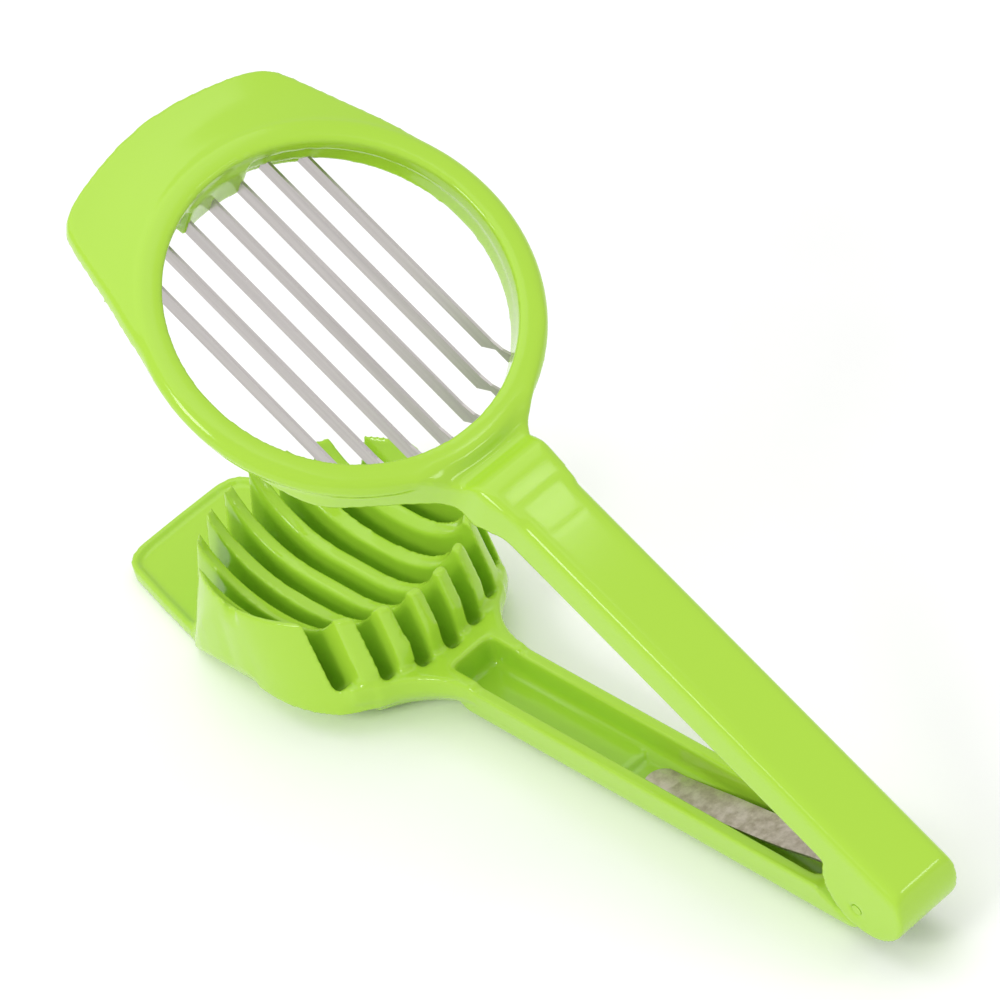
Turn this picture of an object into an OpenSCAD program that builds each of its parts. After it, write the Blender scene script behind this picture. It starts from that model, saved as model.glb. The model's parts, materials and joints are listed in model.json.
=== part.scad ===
// Tong-style egg slicer: lower arm with a slotted egg cradle, upper arm with a
// blade frame, seven blade strips, a leaf spring and a hinge pin.
// Millimetres. Origin: centre of the egg cradle on the resting surface.
// +X from the cradle to the hinge, +Z up. Drawn standing open at rest.

/* [Overall] */
// Hinge pin centre, distance from the cradle centre
hinge_x = 132; // [115:1:160]
// Hinge pin centre, height above the surface
hinge_z = 10.1; // [9:0.1:12]
// Opening angle at rest, degrees
open_deg = 31.3; // [10:0.1:40]

/* [Blades] */
// Spacing of the blades
blade_pitch = 6.1; // [5:0.05:7]
// Thickness of a blade strip
blade_t = 0.5; // [0.3:0.05:1]
// Depth of a blade strip
blade_h = 3.8; // [3:0.1:5]
// Underside of the blades above the surface when closed
blade_z = 8.6; // [8:0.1:9.5]

/* [Frame] */
// Radius of the blade frame's hole
hole_r = 30; // [27:0.5:36]
// Width of the blade frame, hole to outside
frame_w = 5.3; // [4.5:0.1:8]
// Underside of the blade frame above the surface when closed
frame_z0 = 11.4; // [11.3:0.1:13]
// Crest of the blade frame above the surface when closed
frame_z1 = 20; // [18:0.5:23]

/* [Cradle] */
// Radius of the cradle drum
drum_r = 24.4; // [22:0.2:26]
// Lowest point of the egg hollow
hollow_z = 12.9; // [12.5:0.1:15]
// Width of a blade slot
slot_w = 3.1; // [2.5:0.1:3.8]
// Floor of the blade slots
slot_z = 4.5; // [3:0.1:6]
// Top face of the neck plate
neck_z = 11.1; // [10:0.1:11.3]

/* [Arms] */
// Width of both arms
arm_w = 13.8; // [12:0.2:18]
// Wall thickness of the upper arm
wall = 1.85; // [1.4:0.05:2.2]
// Top of the upper arm above the surface when closed
arm_top = 21.9; // [20:0.1:24]
// Lower edge of the upper arm when closed
arm_edge = 13.8; // [13:0.1:15]
// Rim of the lower arm
rim_z = 10.4; // [9:0.1:10.8]
// Floor of the lower arm's channel
floor_z = 5; // [4:0.1:6]
// Radius of the hinge cheeks
cheek_r = 8.9; // [8:0.1:9.5]

/* [Hinge] */
// Radius of the hinge pin
pin_r = 1; // [0.8:0.05:1.4]
// Radial running clearance of the pin in the lower arm's ears
pin_gap = 0.05; // [0.02:0.01:0.1]
// Width of the leaf spring
spring_w = 6; // [4:0.1:6.3]
// Thickness of the leaf spring
spring_t = 0.5; // [0.3:0.05:0.8]

/* [Hidden] */
$fn = 96;
N = 7;
hx = hinge_x;
hz = hinge_z;
hw = arm_w / 2;
in_w = hw - wall;            // inside half width of the upper arm
ear_w = in_w - 0.1;          // outside half width of the lower arm's ears
cx = 2.5;                    // drum centre
ox = 0.5;                    // frame hole centre
frame_r = hole_r + frame_w;
kf = frame_r / 35.3;         // the tab and the neck grow with the frame
function grow(L, kx, ky) = [for (p = L) [p[0] * kx, p[1] * ky]];
ck = [hx - 0.3, hz + 4.3];   // cheek centre, closed
green = [0.60, 0.83, 0.22];
steel = [0.75, 0.75, 0.76];

function by(i) = (i - (N + 1) / 2) * blade_pitch;
// reach of a blade slot in the neck plate, measured from the hinge side
function slot_end(y) = 31.3 - 0.0272 * y * y;
function wall_x(y) = sqrt(hole_r * hole_r - y * y);

function arc(c, r, a0, a1, n = 5) = [for (i = [0:n]) let (a = a0 + (a1 - a0) * i / n) c + r * [cos(a), sin(a)]];

// x-z outline pulled across the arm
module across(w) { translate([0, w / 2, 0]) rotate([90, 0, 0]) linear_extrude(w) children(); }
// closed position turned up to the open rest position
module opened() { translate([hx, 0, hz]) rotate([0, open_deg, 0]) translate([-hx, 0, -hz]) children(); }
module mir() { children(); mirror([0, 1, 0]) children(); }
module box(a, b) { translate(a) cube(b - a); }
module slab(r, c, z0, z1) { translate([c, 0, z0]) cylinder(r = r, h = z1 - z0, $fn = 180); }

// ------------------------------------------------------------- lower arm
// hull-like underside: how far the side stands back at each height
flank = [[-7, 0], [-4.6, 2], [-2.7, 4], [-1, 6], [0, 8]];
function under(r, k = 1) = [for (p = flank) [r + k * p[0], p[1]]];
// a disc with its underside drawn in, and the cutter that leaves the same side on a hollow corner
module puck(r, c, h, k = 1) {
  translate([c, 0, 0]) rotate_extrude($fn = 180) polygon(concat([[0, 0]], under(r, k), [[r, h], [0, h]]));
}
module hollow_corner(r) {
  rotate_extrude($fn = 120) polygon(concat([[0, -1]], [[r + 6.5, -1]], [for (p = flank) [r - p[0] * 0.9, p[1]]], [[r, 30], [0, 30]]));
}
module neck() {
  difference() {
    union() {
      intersection() {
        puck(28.4, cx, neck_z);
        translate([cx, 0, 0]) rotate([90, 0, 90]) linear_extrude(40) mir2()
          polygon(concat([[0, 0]], under(22.7, 1.1), [[22.7, neck_z], [0, neck_z]]));
      }
      intersection() {
        linear_extrude(neck_z) mir() polygon([[18, 0], [20, 12.3], [24.5, 15.6], [41, 15.6], [41, 0]]);
        puck(39, cx, neck_z);
      }
    }
    mir() translate([41, hw + 16, 0]) hollow_corner(16);
    // the shoulder is eased off
    mir() translate([14, 22.7, 0]) rotate([0, 0, -22]) box([0, 0, -1], [14, 8, 30]);
  }
}
// the drum leans out towards the finger tab
module drum() {
  translate([cx, 0, 0]) rotate_extrude($fn = 180) polygon(concat([[0, 0]], under(drum_r, 0.75),
    [[drum_r, 19.5], [drum_r - 0.5, 21.4], [drum_r - 1.5, 22.8], [drum_r - 3, 24], [0, 24]]));
  intersection() {
    translate([cx, 0, 0]) cylinder(r1 = drum_r + 5.2, r2 = drum_r - 0.5, h = 24, $fn = 180);
    linear_extrude(24) mir() polygon([[cx - 2, 0], [cx - 2, drum_r - 0.4], [-5, drum_r - 0.5], [-9, drum_r - 0.9],
      [-12.5, drum_r - 1.5], [-16, drum_r - 2.5], [-20.5, drum_r - 4.2], [-30, drum_r - 6.8], [-30, 0]]);
    translate([-40, 0, 0]) rotate([90, 0, 90]) linear_extrude(40) mir2()
      polygon(concat([[0, 0]], under(drum_r - 0.2, 0.6), [[drum_r - 0.2, 24], [0, 24]]));
  }
}
// one blade slot: narrow below, its floor rising at both ends
module slot(i) {
  y = by(i);
  e = slot_end(y);
  t = cx - sqrt(pow(drum_r - 2, 2) - y * y);
  intersection() {
    translate([-34, y, 0]) rotate([90, 0, 90]) linear_extrude(80) mir2()
      polygon([[0, 0], [slot_w * 0.27, 0], [slot_w * 0.27, slot_z], [slot_w * 0.46, 9], [slot_w * 0.52, 13], [slot_w * 0.62, 30], [0, 30]]);
    translate([0, y, 0]) across(8) polygon([[-34, 8], [t, 8], [t + 4, slot_z], [e - neck_z + slot_z, slot_z], [e, neck_z],
      [40, neck_z], [40, 30], [-34, 30]]);
  }
}
module tab_plan(in = 0) {
  // the finger tab under the cradle
  mir() difference() {
    polygon([[cx, 0], [cx, 18.8 - in], [-8, 19.7 - in], [-20, 19.5 - in], [-31, 17 - in],
      [-40.6, 14.6 - in], [-42.6 + in * 0.4, 13.6 - in], [-43.9 + in * 0.8, 12 - in],
      [-44.5 + in, 9.4 - in], [-44.7 + in, 0]]);
  }
}
module bowl() {
  // the egg hollow: a flat disc carried up by a rolled side
  translate([cx, 0, 0]) rotate_extrude($fn = 180) {
    intersection() {
      translate([6, hollow_z + 19.6]) circle(r = 19.6, $fn = 180);
      translate([0, hollow_z]) square([30, 19.6]);
    }
    translate([0, hollow_z]) square([6, 30]);
  }
}
module low_section() {
  // trough of the arm: round below, leaning outwards above
  mir2() polygon(concat([[0, 0]], arc([1.2, 4.8], 4.8, -84, 0, 6), [[hw, rim_z], [0, rim_z]]));
}
module mir2() { children(); mirror([1, 0]) children(); }
module lower_arm() color(green) difference() {
  union() {
    // tab with a raised lip
    linear_extrude(2.4) tab_plan();
    difference() { linear_extrude(3.4) tab_plan(); translate([0, 0, 2.4]) linear_extrude(3) tab_plan(1.2); }
    // drum and its sloping handle side
    drum();
    intersection() {
      translate([cx, 0, 24]) rotate([0, -16, 0]) translate([0, 0, -40]) cylinder(r = drum_r, h = 60, $fn = 180);
      box([cx + 0.5, -40, 5], [40, 40, 24]);
      slab(hole_r - 0.7, ox, 0, 40);
    }
    neck();
    // arm: rounded trough, turned up at the hinge end
    intersection() {
      translate([36, 0, 0]) rotate([90, 0, 90]) linear_extrude(hx - 36) low_section();
      union() {
        box([36, -10, 0.5], [57, 10, 12]);
        box([56.9, -10, 0], [hx - 10, 10, 12]);
        across(20) translate([hx - 10, 10.1]) circle(r = 10.1);
      }
    }
    // hinge tongue
    across(2 * ear_w) translate([hx, hz]) circle(r = 5);
  }
  bowl();
  for (i = [1:N]) slot(i);
  // channel with a rounded end, then the spring's pocket
  box([34, -(hw - 2.4), floor_z], [hx - 13, hw - 2.4, 20]);
  translate([hx - 13, 0, floor_z]) intersection() {
    cylinder(r = hw - 2.4, h = 20);
    box([0, -10, -1], [3.2, 10, 20]);
  }
  box([72.3, -3.4, 4], [hx - 13, 3.4, 20]);
  // room for the spring between the two ears
  box([hx - 14, -3.25, rim_z], [hx + 10, 3.25, 20]);
  box([hx - 6.5, -3.25, 3], [hx + 10, 3.25, 20]);
  // room for the upper arm's cheeks
  mir() {
    box([hx - 0.8, ear_w, -1], [hx + 12, 20, 30]);
    translate([0, ear_w + 10, 0]) across(20) translate(ck) circle(r = cheek_r + 0.5);
  }
  // running holes for the pin
  across(40) translate([hx, hz]) circle(r = pin_r + pin_gap, $fn = 48);
}

// ------------------------------------------------------------- upper arm
module frame_out() {
  // leaning outer wall under a rounded crest
  translate([ox, 0, 0]) rotate_extrude($fn = 180) polygon(concat([[0, frame_z0], [frame_r - 3, frame_z0],
    [frame_r - 1.9, 14], [frame_r - 0.7, 16.4]], arc([frame_r - 2.2, frame_z1 - 2.2], 2.2, 0, 84, 4), [[0, frame_z1]]));
}
module up_tab() {
  // a dished plate round the hole, cut to the tab's outline
  intersection() {
    translate([ox, 0, 0]) rotate_extrude($fn = 180) polygon(grow([[20, frame_z0 + 5], [31, 17], [33, 16.4],
      [36, 15.3], [38, 14.4], [40, 13.6], [42, 12.9], [44, 12.3], [46, 11.8], [49, 11.3], [49, 14.2], [46, 14.8],
      [44, 15.4], [42, 16.1], [40, 16.9], [38, 17.8], [36, 18.7], [34, 19.5], [32.4, frame_z1 - 0.05], [20, frame_z1 - 0.05]], kf, 1));
    translate([0, 0, 5]) linear_extrude(20) mir() polygon(grow(concat([[4, 0], [4, 33.2], [-2, 34.1], [-8, 33.7], [-12.5, 32.5],
      [-19, 30.8], [-26, 28.6], [-32, 26.9], [-36.7, 25.5]], [[-39.2, 24.5], [-41, 22.9], [-42.4, 20.6],
      [-43.5, 17.5], [-44.9, 12], [-46, 6], [-46.4, 0]]), kf, kf));
  }
}
module up_neck() {
  // saddle between the frame and the handle's broad shoulder
  intersection() {
    translate([0, 0, frame_z0]) linear_extrude(20) mir() polygon(grow([[9, 0], [9, 30.9], [15, 29.5], [20.7, 27.4],
      [23, 26.1], [25.1, 24.3], [27.6, 21], [30.3, 17.3], [32.3, 14.4], [34.1, 12],
      [35.6, 10.1], [37.1, 8.7], [38.6, 7.9], [40, 7.8], [41.6, 7.9], [43.4, 7.8], [45.4, 7.45], [47.4, 7.15], [49.4, hw], [49.4, 0]], kf, kf));
    across(90) polygon(grow([[10, frame_z0], [10, frame_z1 - 0.05], [32.6, frame_z1 - 0.05], [34.2, 19.4], [35.8, 18.5],
      [37.2, 18.3], [38.2, 19], [39.2, 20.3], [40.2, 21.2], [41.4, 21.7], [43, arm_top - 0.05], [49.4, arm_top - 0.05],
      [49.4, arm_edge + 0.2], [46.5, arm_edge - 0.6], [44.5, 12.2], [43, frame_z0]], kf, 1));
    union() {
      box([10, -45, 0], [38.6 * kf, 45, 30]);
      translate([38.5 * kf, 0, 0]) rotate([90, 0, 90]) linear_extrude(11 * kf) mir2()
        polygon(concat([[0, 0], [hw + 1.1, 0]], arc([hw - 0.9, arm_top - 2.02], 2, 0, 90, 4), [[0, arm_top - 0.02]]));
    }
  }
}
module up_ring() difference() {
  union() {
    frame_out();
    up_tab();
    up_neck();
  }
  slab(hole_r, ox, frame_z0 - 1, 40);
  // below the lip the wall stands back a little more towards the tab
  slab(hole_r + 0.5, ox - 0.7, frame_z0 - 1, 16.6);
  for (i = [1:N]) blade_body(i);
}
module ledge() {
  // carries the blade ends under the tab, set back from the hole; its middle reaches the hole
  difference() {
    union() {
      intersection() {
        slab(hole_r + 5, ox, blade_z - 0.5, 15.8);
        box([ox - 40, -20.3, 0], [ox - 20, 20.3, 30]);
      }
      box([ox - hole_r - 3, -7, blade_z - 0.5], [ox - hole_r + 4, 7, 16.9]);
    }
    difference() {
      slab(hole_r + 2.2, ox, 0, 30);
      box([ox - 40, -7, 0], [ox - 20, 7, 30]);
    }
    slab(hole_r - 0.6, ox, 0, 29);
    for (i = [1:N]) blade_body(i);
  }
}
module up_handle() difference() {
  intersection() {
    translate([47 * kf, 0, 0]) rotate([90, 0, 90]) linear_extrude(hx + 12 - 47 * kf) mir2()
      polygon(concat([[0, 0], [hw, 0]], arc([hw - 1.9, arm_top - 1.9], 1.9, 0, 90, 4), [[0, arm_top]]));
    across(20) union() {
      polygon([[47 * kf, arm_edge], [47 * kf, 30], [ck[0] + 1, 30], [ck[0] + 1, arm_edge]]);
      translate(ck) circle(r = cheek_r);
    }
  }
  // hollow underside, closed at the back
  box([49 * kf, -in_w, 0], [ck[0], in_w, arm_top - 2]);
  intersection() {
    across(2 * in_w) translate(ck) circle(r = cheek_r - 1.9);
    box([0, -10, 0], [200, 10, arm_top - 2]);
  }
  box([ck[0] - 12, -in_w, 0], [hx + 12, in_w, 10.8]);
  // grip lines across the top
  for (x = [49.4, 51.4, 53.4] * kf) box([x, -3.4, arm_top - 0.22], [x + 0.5, 3.4, 30]);
  // pin holes
  across(40) translate([hx, hz]) circle(r = pin_r, $fn = 48);
}
module upper_arm() color(green) opened() {
  up_ring();
  ledge();
  up_handle();
}

// ---------------------------------------------------------------- blades
module blade_body(i) {
  y = by(i);
  w = wall_x(y);
  e = slot_end(y) - 0.8;      // where the lower edge has cleared the neck plate
  b = blade_z;
  t = blade_z + blade_h;
  g = ox - sqrt(pow(hole_r + 4.3, 2) - y * y);   // fixed end in the ledge under the tab
  d = min(e, ox + w - 0.4);   // where it reaches the frame's underside
  translate([0, y, 0]) across(blade_t) polygon([
    [g, b], [d - 2.6, b], [d, frame_z0 + 0.05], [ox + w + 2.2, frame_z0 + 0.05], [ox + w + 2.2, 16.4],
    [ox + w + 0.7, 16.4], [ox + w + 0.7, 14.4], [ox + w - 1.8, t + 0.5], [ox + w - 4.5, t], [g, t]]);
}
module blade(i) color(steel) opened() blade_body(i);
module blade_1() blade(1);
module blade_2() blade(2);
module blade_3() blade(3);
module blade_4() blade(4);
module blade_5() blade(5);
module blade_6() blade(6);
module blade_7() blade(7);

// -------------------------------------------------------- pin and spring
module hinge_pin() color(steel) opened() across(arm_w - 0.3) translate([hx, hz]) circle(r = pin_r, $fn = 48);

// centre line of the spring: lower leg, bend behind the pin, upper leg
bend_c = [hx + 2.4, hz + 5.2];
bend_r = 2.2;
roof = [hx + (arm_top - 2.35 - hz) * sin(open_deg), hz + (arm_top - 2.35 - hz) * cos(open_deg)];
spring_line = concat(
  [for (p = [[-56, 4.28], [-50, 4.6], [-44, 5.6], [-38, 6.7], [-32, 7.6], [-26, 8.5], [-20, 9.7],
    [-14, 11.3], [-8, 12.5], [-3, 13.05]]) [hx + p[0], p[1]]],
  [for (a = [-90:22.5:45]) bend_c + bend_r * [cos(a), sin(a)]],
  [for (s = [6:8:38]) roof - s * [cos(open_deg), -sin(open_deg)]]);
function nrm(p, q) = let (d = q - p, l = norm(d)) [-d[1] / l, d[0] / l];
function side(L, i, h) = let (n = len(L),
  a = nrm(L[max(i - 1, 0)], L[max(i, 1)]), b = nrm(L[min(i, n - 2)], L[min(i + 1, n - 1)]),
  m = (a + b) / norm(a + b)) L[i] + m * h / max(0.6, m * a);
module leaf_spring() color(steel) {
  n = len(spring_line);
  intersection() {
    across(spring_w) polygon(concat([for (i = [0:n - 1]) side(spring_line, i, spring_t / 2)],
      [for (i = [n - 1:-1:0]) side(spring_line, i, -spring_t / 2)]));
    union() {
      translate([hx - 56 + spring_w / 2, 0, 0]) cylinder(d = spring_w, h = 80);
      box([hx - 56 + spring_w / 2, -10, 0], [hx + 20, 10, 80]);
    }
  }
}

lower_arm();
upper_arm();
hinge_pin();
leaf_spring();
blade_1();
blade_2();
blade_3();
blade_4();
blade_5();
blade_6();
blade_7();
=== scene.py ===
import json
import math

import bmesh
import bpy
from mathutils import Matrix, Vector


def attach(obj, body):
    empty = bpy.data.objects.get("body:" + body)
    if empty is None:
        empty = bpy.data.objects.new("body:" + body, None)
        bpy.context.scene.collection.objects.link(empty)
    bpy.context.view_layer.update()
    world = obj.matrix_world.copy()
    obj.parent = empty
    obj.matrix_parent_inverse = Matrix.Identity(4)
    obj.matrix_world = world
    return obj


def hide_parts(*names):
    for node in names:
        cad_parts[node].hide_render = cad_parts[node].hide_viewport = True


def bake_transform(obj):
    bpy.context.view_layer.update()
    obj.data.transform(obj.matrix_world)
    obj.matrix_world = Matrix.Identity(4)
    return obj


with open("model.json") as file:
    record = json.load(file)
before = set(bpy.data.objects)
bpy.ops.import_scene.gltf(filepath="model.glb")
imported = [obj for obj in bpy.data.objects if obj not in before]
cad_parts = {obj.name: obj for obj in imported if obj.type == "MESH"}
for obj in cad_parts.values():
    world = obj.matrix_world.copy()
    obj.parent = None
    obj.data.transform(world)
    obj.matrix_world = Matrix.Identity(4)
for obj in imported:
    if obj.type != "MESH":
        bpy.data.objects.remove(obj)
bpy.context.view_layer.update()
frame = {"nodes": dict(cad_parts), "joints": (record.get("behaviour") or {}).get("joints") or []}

nodes = frame["nodes"]

# Lower arm: one moulding with the finger tab, the slotted egg cradle and the handle's trough.
# Polypropylene dyed lime green, injected into a polished mould, which leaves the walls glossy
# and every edge softly rounded. It lies flat on the worktop.


def linear(hex_colour):
    """sRGB hex to a linear colour with alpha."""
    rgb = [int(hex_colour[i:i + 2], 16) / 255 for i in (1, 3, 5)]
    return [c / 12.92 if c <= 0.04045 else ((c + 0.055) / 1.055) ** 2.4 for c in rgb] + [1]


def material(name):
    """A new material with an empty node tree; returns it with its tree."""
    m = bpy.data.materials.new(name)
    m.use_nodes = True
    m.node_tree.nodes.clear()
    return m, m.node_tree


def add(tree, kind, links=None, **settings):
    """One shader node: settings name its properties or inputs, links join its inputs to outputs."""
    n = tree.nodes.new(kind)
    for key, value in settings.items():
        if hasattr(n, key):
            setattr(n, key, value)
        else:
            n.inputs[key.replace("_", " ")].default_value = value
    for key, output in (links or {}).items():
        tree.links.new(output, n.inputs[key])
    return n


# The melt leaves faint paler flow marks, and the mould's polish makes reflections waver a little.
LIME = linear("#A7D439")
LIME_PALE = linear("#ACD740")
FLOW_SCALE = 1 / 0.045       # flow marks of the melt, about 45 mm across
POLISH_SCALE = 1 / 0.006     # polish marks of the mould, about 6 mm across

lime_plastic, tree = material("lime polypropylene, gloss moulded")
coords = add(tree, "ShaderNodeTexCoord").outputs["Object"]
flow = add(tree, "ShaderNodeTexNoise", {"Vector": coords},
           Scale=FLOW_SCALE, Detail=3.0, Roughness=0.5)
tint = add(tree, "ShaderNodeMix", {"Factor": flow.outputs["Fac"]}, data_type="RGBA")
tint.inputs[6].default_value = LIME
tint.inputs[7].default_value = LIME_PALE
polish = add(tree, "ShaderNodeTexNoise", {"Vector": coords}, Scale=POLISH_SCALE, Detail=1.0)
gloss = add(tree, "ShaderNodeMapRange", {"Value": polish.outputs["Fac"]},
            To_Min=0.11, To_Max=0.15)
peel = add(tree, "ShaderNodeBump", {"Height": polish.outputs["Fac"]},
           Strength=0.02, Distance=0.0003)
body = add(tree, "ShaderNodeBsdfPrincipled",
           {"Base Color": tint.outputs[2], "Roughness": gloss.outputs[0],
            "Normal": peel.outputs[0]}, IOR=1.49)
add(tree, "ShaderNodeOutputMaterial", {"Surface": body.outputs[0]})

VOXEL = 0.00052      # finest step that a softened moulding keeps
SOFTEN_STEPS = 8     # smoothing passes, which round an edge to about 0.9 mm


def softened(node_name, name, turned=0.0, plugs=()):
    """A merged copy of a CAD moulding with rounded edges: turned back square to its own faces,
    resampled, relaxed and turned again. Plugs are boxes that close its hidden grooves."""
    mesh = nodes[node_name].data.copy()
    mesh.name = name
    upright = Matrix.Rotation(turned, 4, "Y")
    bm = bmesh.new()
    bm.from_mesh(mesh)
    bmesh.ops.remove_doubles(bm, verts=bm.verts, dist=1e-6)
    bmesh.ops.transform(bm, matrix=upright.inverted(), verts=bm.verts)
    for low, high in plugs:
        box = bmesh.ops.create_cube(bm, size=1.0)["verts"]
        bmesh.ops.scale(bm, vec=Vector(high) - Vector(low), verts=box)
        bmesh.ops.translate(bm, vec=(Vector(high) + Vector(low)) / 2, verts=box)
    bm.to_mesh(mesh)
    bm.free()
    mesh.materials.clear()
    piece = bpy.data.objects.new(name, mesh)
    bpy.context.scene.collection.objects.link(piece)
    remesh = piece.modifiers.new("resample", "REMESH")
    remesh.mode = "VOXEL"
    remesh.voxel_size = VOXEL
    relax = piece.modifiers.new("relax", "SMOOTH")
    relax.factor = 0.5
    relax.iterations = SOFTEN_STEPS
    bpy.context.view_layer.update()
    shape = piece.evaluated_get(bpy.context.evaluated_depsgraph_get())
    final = bpy.data.meshes.new_from_object(shape)
    piece.modifiers.clear()
    final.transform(upright)
    piece.data = final
    final.shade_smooth()
    return piece


lower = softened("lower_arm", "lower_moulding")
lower.data.materials.append(lime_plastic)
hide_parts("lower_arm")
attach(lower, "lower")

# Upper arm: the second lime moulding, with its blade frame, finger tab and channelled handle.
# It is the same polypropylene as the lower arm, moulded round the blade ends, and turns on the
# hinge pin.
OPEN = math.radians(31.3)                      # how far the arm stands open
HINGE = Vector(frame["joints"][0]["pos_m"])
BLADES = 7
BLADE_PITCH = 0.0061
HOLE_R = 0.030                                 # radius of the hole that the blades cross
LEDGE_R = 0.0343                               # radius that the blades reach under the tab
PLUG_HALF = 0.0005                             # half width of a plug, just past the blade's sides


def blade_plugs():
    """Boxes for both ends of each blade, placed in the arm closed and turned back to level."""
    shift = HINGE @ Matrix.Rotation(OPEN, 3, "Y") - HINGE
    boxes = []
    for i in range(BLADES):
        y = (i - BLADES // 2) * BLADE_PITCH
        hole = math.sqrt(HOLE_R ** 2 - y * y)
        ledge = math.sqrt(LEDGE_R ** 2 - y * y)
        for x0, x1, z0, z1 in ((hole + 0.0011, hole + 0.0029, 0.0119, 0.0166),
                               (0.0003 - ledge, -hole - 0.0012, 0.0118, 0.0126)):
            boxes.append((Vector((x0, y - PLUG_HALF, z0)) + shift,
                          Vector((x1, y + PLUG_HALF, z1)) + shift))
    return boxes


upper = softened("upper_arm", "upper_moulding", OPEN, blade_plugs())
upper.data.materials.append(lime_plastic)
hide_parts("upper_arm")
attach(upper, "upper")

# Hinge pin: a plain round stub of the same glossy lime plastic. It is pressed through both
# cheeks of the upper arm, and the ears of the lower arm turn on it.
pin = nodes["hinge_pin"]
pin.data.materials.clear()
pin.data.materials.append(lime_plastic)

# Blades: seven strips of stainless steel, rolled thin and brushed along their length, which
# draws the light out into fine streaks. The moulding grips their turned-up ends.
STEEL = linear("#C9C4C2")
STEEL_DARK = linear("#ADA8A7")
BRUSH_SCALE = 1 / 0.0012     # brush lines about 1.2 mm apart, coarser than real so that they show
BRUSH_STRETCH = 0.03         # across the strip to along it

blade_steel, tree = material("stainless steel, brushed strip")
coords = add(tree, "ShaderNodeTexCoord").outputs["Object"]
along = add(tree, "ShaderNodeMapping", {"Vector": coords})
along.inputs["Rotation"].default_value = (0, -OPEN, 0)
stretch = add(tree, "ShaderNodeMapping", {"Vector": along.outputs[0]})
stretch.inputs["Scale"].default_value = (BRUSH_STRETCH, 1, 1)
brush = add(tree, "ShaderNodeTexNoise", {"Vector": stretch.outputs[0]},
            Scale=BRUSH_SCALE, Detail=4.0)
shade = add(tree, "ShaderNodeMix", {"Factor": brush.outputs["Fac"]}, data_type="RGBA")
shade.inputs[6].default_value = STEEL
shade.inputs[7].default_value = STEEL_DARK
worn = add(tree, "ShaderNodeMapRange", {"Value": brush.outputs["Fac"]}, To_Min=0.30, To_Max=0.48)
grain = add(tree, "ShaderNodeBump", {"Height": brush.outputs["Fac"]},
            Strength=0.2, Distance=0.0001)
metal = add(tree, "ShaderNodeBsdfPrincipled",
            {"Base Color": shade.outputs[2], "Roughness": worn.outputs[0],
             "Normal": grain.outputs[0]}, Metallic=1.0)
add(tree, "ShaderNodeOutputMaterial", {"Surface": metal.outputs[0]})

for i in range(1, BLADES + 1):
    blade = nodes[f"blade_{i}"]
    blade.data.materials.clear()
    blade.data.materials.append(blade_steel)

# Leaf spring: one strip of spring steel, bent back on itself behind the pin. Rolling leaves its
# skin dull and faintly mottled. Its lower leg lies in the trough and its upper leg lifts the
# handle.
SPRING_STEEL = linear("#D6CBBE")
SPRING_SHADE = linear("#B3A698")
MOTTLE_SCALE = 1 / 0.0022    # blotches left by rolling, about 2 mm across

spring_steel, tree = material("spring steel, rolled and mottled")
coords = add(tree, "ShaderNodeTexCoord").outputs["Object"]
blotch = add(tree, "ShaderNodeTexNoise", {"Vector": coords},
             Scale=MOTTLE_SCALE, Detail=5.0, Roughness=0.65)
spread = add(tree, "ShaderNodeMapRange", {"Value": blotch.outputs["Fac"]},
             From_Min=0.35, From_Max=0.65)
skin = add(tree, "ShaderNodeMix", {"Factor": spread.outputs[0]}, data_type="RGBA")
skin.inputs[6].default_value = SPRING_STEEL
skin.inputs[7].default_value = SPRING_SHADE
dull = add(tree, "ShaderNodeMapRange", {"Value": spread.outputs[0]}, To_Min=0.32, To_Max=0.55)
pits = add(tree, "ShaderNodeBump", {"Height": spread.outputs[0]}, Strength=0.25, Distance=0.0001)
metal = add(tree, "ShaderNodeBsdfPrincipled",
            {"Base Color": skin.outputs[2], "Roughness": dull.outputs[0],
             "Normal": pits.outputs[0]}, Metallic=1.0)
add(tree, "ShaderNodeOutputMaterial", {"Surface": metal.outputs[0]})

mesh = nodes["leaf_spring"].data.copy()
mesh.name = "leaf_spring_strip"
bm = bmesh.new()
bm.from_mesh(mesh)
bmesh.ops.remove_doubles(bm, verts=bm.verts, dist=1e-6)
bmesh.ops.recalc_face_normals(bm, faces=bm.faces)
bm.to_mesh(mesh)
bm.free()
mesh.materials.clear()
mesh.materials.append(spring_steel)
spring = bpy.data.objects.new("leaf_spring_strip", mesh)
bpy.context.scene.collection.objects.link(spring)
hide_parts("leaf_spring")
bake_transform(spring)

# Studio floor: a wide sheet of plain white matt paper under the slicer. Its fibres make the tone
# vary so little that it reads as plain.
PAPER = linear("#FFFFFF")
PAPER_SHADE = linear("#FCFCFC")
FIBRE_SCALE = 1 / 0.025      # soft clouds about 25 mm across
FLOOR_HALF = 6.0

paper, tree = material("white paper sheet, matt")
coords = add(tree, "ShaderNodeTexCoord").outputs["Object"]
fibre = add(tree, "ShaderNodeTexNoise", {"Vector": coords}, Scale=FIBRE_SCALE, Detail=2.0)
tone = add(tree, "ShaderNodeMix", {"Factor": fibre.outputs["Fac"]}, data_type="RGBA")
tone.inputs[6].default_value = PAPER
tone.inputs[7].default_value = PAPER_SHADE
sheet = add(tree, "ShaderNodeBsdfPrincipled", {"Base Color": tone.outputs[2]}, Roughness=0.9)
add(tree, "ShaderNodeOutputMaterial", {"Surface": sheet.outputs[0]})

bm = bmesh.new()
bmesh.ops.create_grid(bm, x_segments=2, y_segments=2, size=FLOOR_HALF)
mesh = bpy.data.meshes.new("floor")
bm.to_mesh(mesh)
bm.free()
mesh.materials.append(paper)
floor = bpy.data.objects.new("floor", mesh)
bpy.context.scene.collection.objects.link(floor)

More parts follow.
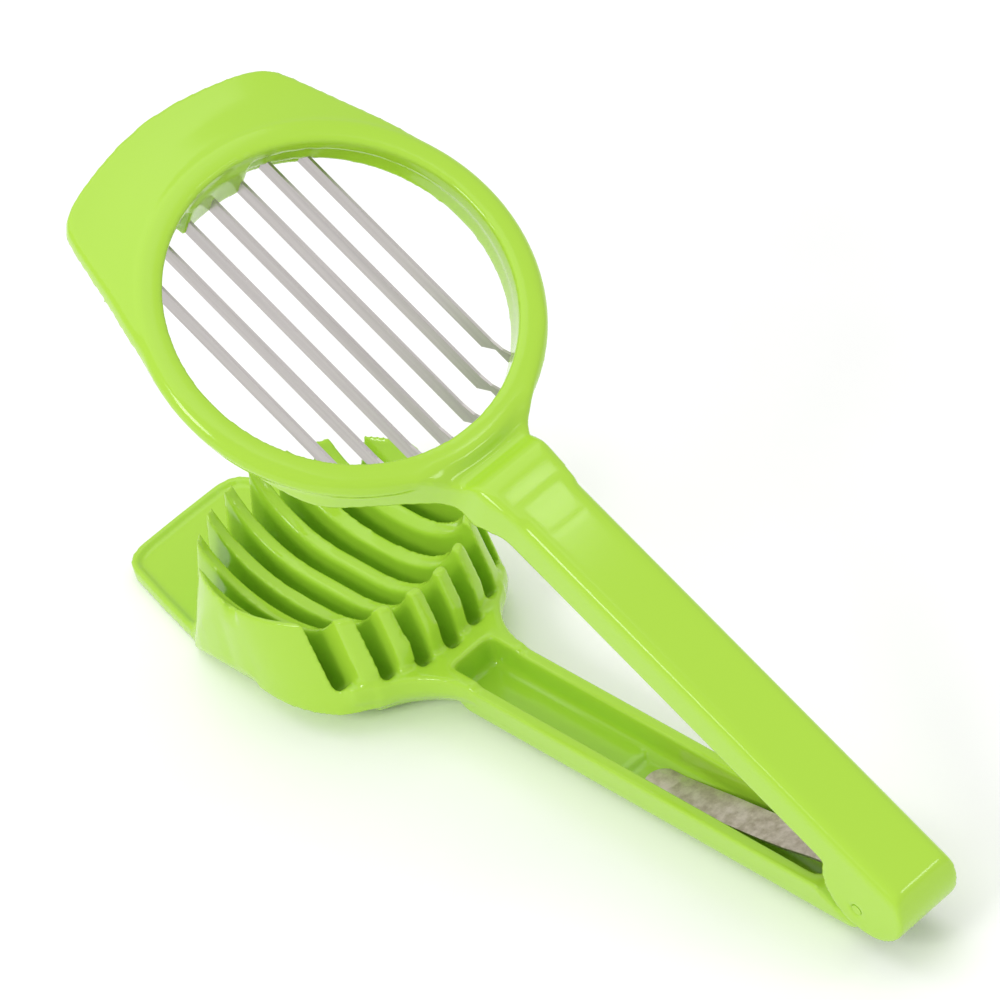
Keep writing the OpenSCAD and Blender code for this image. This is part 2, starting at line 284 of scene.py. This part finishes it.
# Studio lights: three large soft boxes, two small panels and a white surround. The panels show
# as pale patches on the polished top of the handle and on its rear bend.
MIDDLE = (0.045, 0.0, 0.04)      # where the soft boxes point
HANDLE_TOP = 0.0219              # top of the handle, closed
PANEL_GAP = 0.28                 # from a panel to the patch it lights
SURROUND = 0.72


def soft_light(name, place, target, size, power):
    """A square light at a place, turned to its target: side in metres, power in watts."""
    lamp = bpy.data.lights.new(name, "AREA")
    lamp.shape = "SQUARE"
    lamp.size = size
    lamp.energy = power
    o = bpy.data.objects.new(name, lamp)
    o.location = place
    o.rotation_euler = (Vector(target) - Vector(place)).to_track_quat("-Z", "Y").to_euler()
    bpy.context.scene.collection.objects.link(o)


soft_light("overhead", (-0.25, 0.1, 1.5), MIDDLE, 1.6, 7.5)
soft_light("near_side", (0.1, -1.1, 0.9), MIDDLE, 0.45, 5.4)
soft_light("tab_side", (-1.3, -0.2, 0.9), MIDDLE, 1.0, 0.9)
for name, along, direction, size, power in (
        ("panel_front", 0.0497, (0.2926, 0.4347, 0.8519), 0.017, 0.005),
        ("panel_rear", 0.1335, (0.614, 0.4347, 0.66), 0.05, 0.04)):
    patch = Matrix.Rotation(OPEN, 3, "Y") @ (Vector((along, 0, HANDLE_TOP)) - HINGE) + HINGE
    soft_light(name, patch + PANEL_GAP * Vector(direction), patch, size, power)

world = bpy.data.worlds.new("studio")
world.use_nodes = True
world.node_tree.nodes["Background"].inputs["Color"].default_value = (1, 1, 1, 1)
world.node_tree.nodes["Background"].inputs["Strength"].default_value = SURROUND
bpy.context.scene.world = world
bpy.context.scene.view_settings.view_transform = "Standard"

# Camera: a long lens from above the near side, rolled so that the handle runs down to the right.
CAMERA_PLACE = (0.7740, -0.5035, 0.8114)
CAMERA_RIGHT = Vector((0.6901, 0.6974, -0.1929))
CAMERA_BACK = Vector((0.6215, -0.4347, 0.6517))     # from the slicer to the camera
LENS = 251.56                                       # mm, on a sensor 36 mm wide

camera_data = bpy.data.cameras.new("camera")
camera_data.sensor_width = 36
camera_data.lens = LENS
camera_data.clip_start = 0.05
camera = bpy.data.objects.new("camera", camera_data)
axes = Matrix((CAMERA_RIGHT, CAMERA_BACK.cross(CAMERA_RIGHT), CAMERA_BACK)).transposed()
camera.matrix_world = Matrix.Translation(CAMERA_PLACE) @ axes.to_4x4()
bpy.context.scene.collection.objects.link(camera)
bpy.context.scene.camera = camera
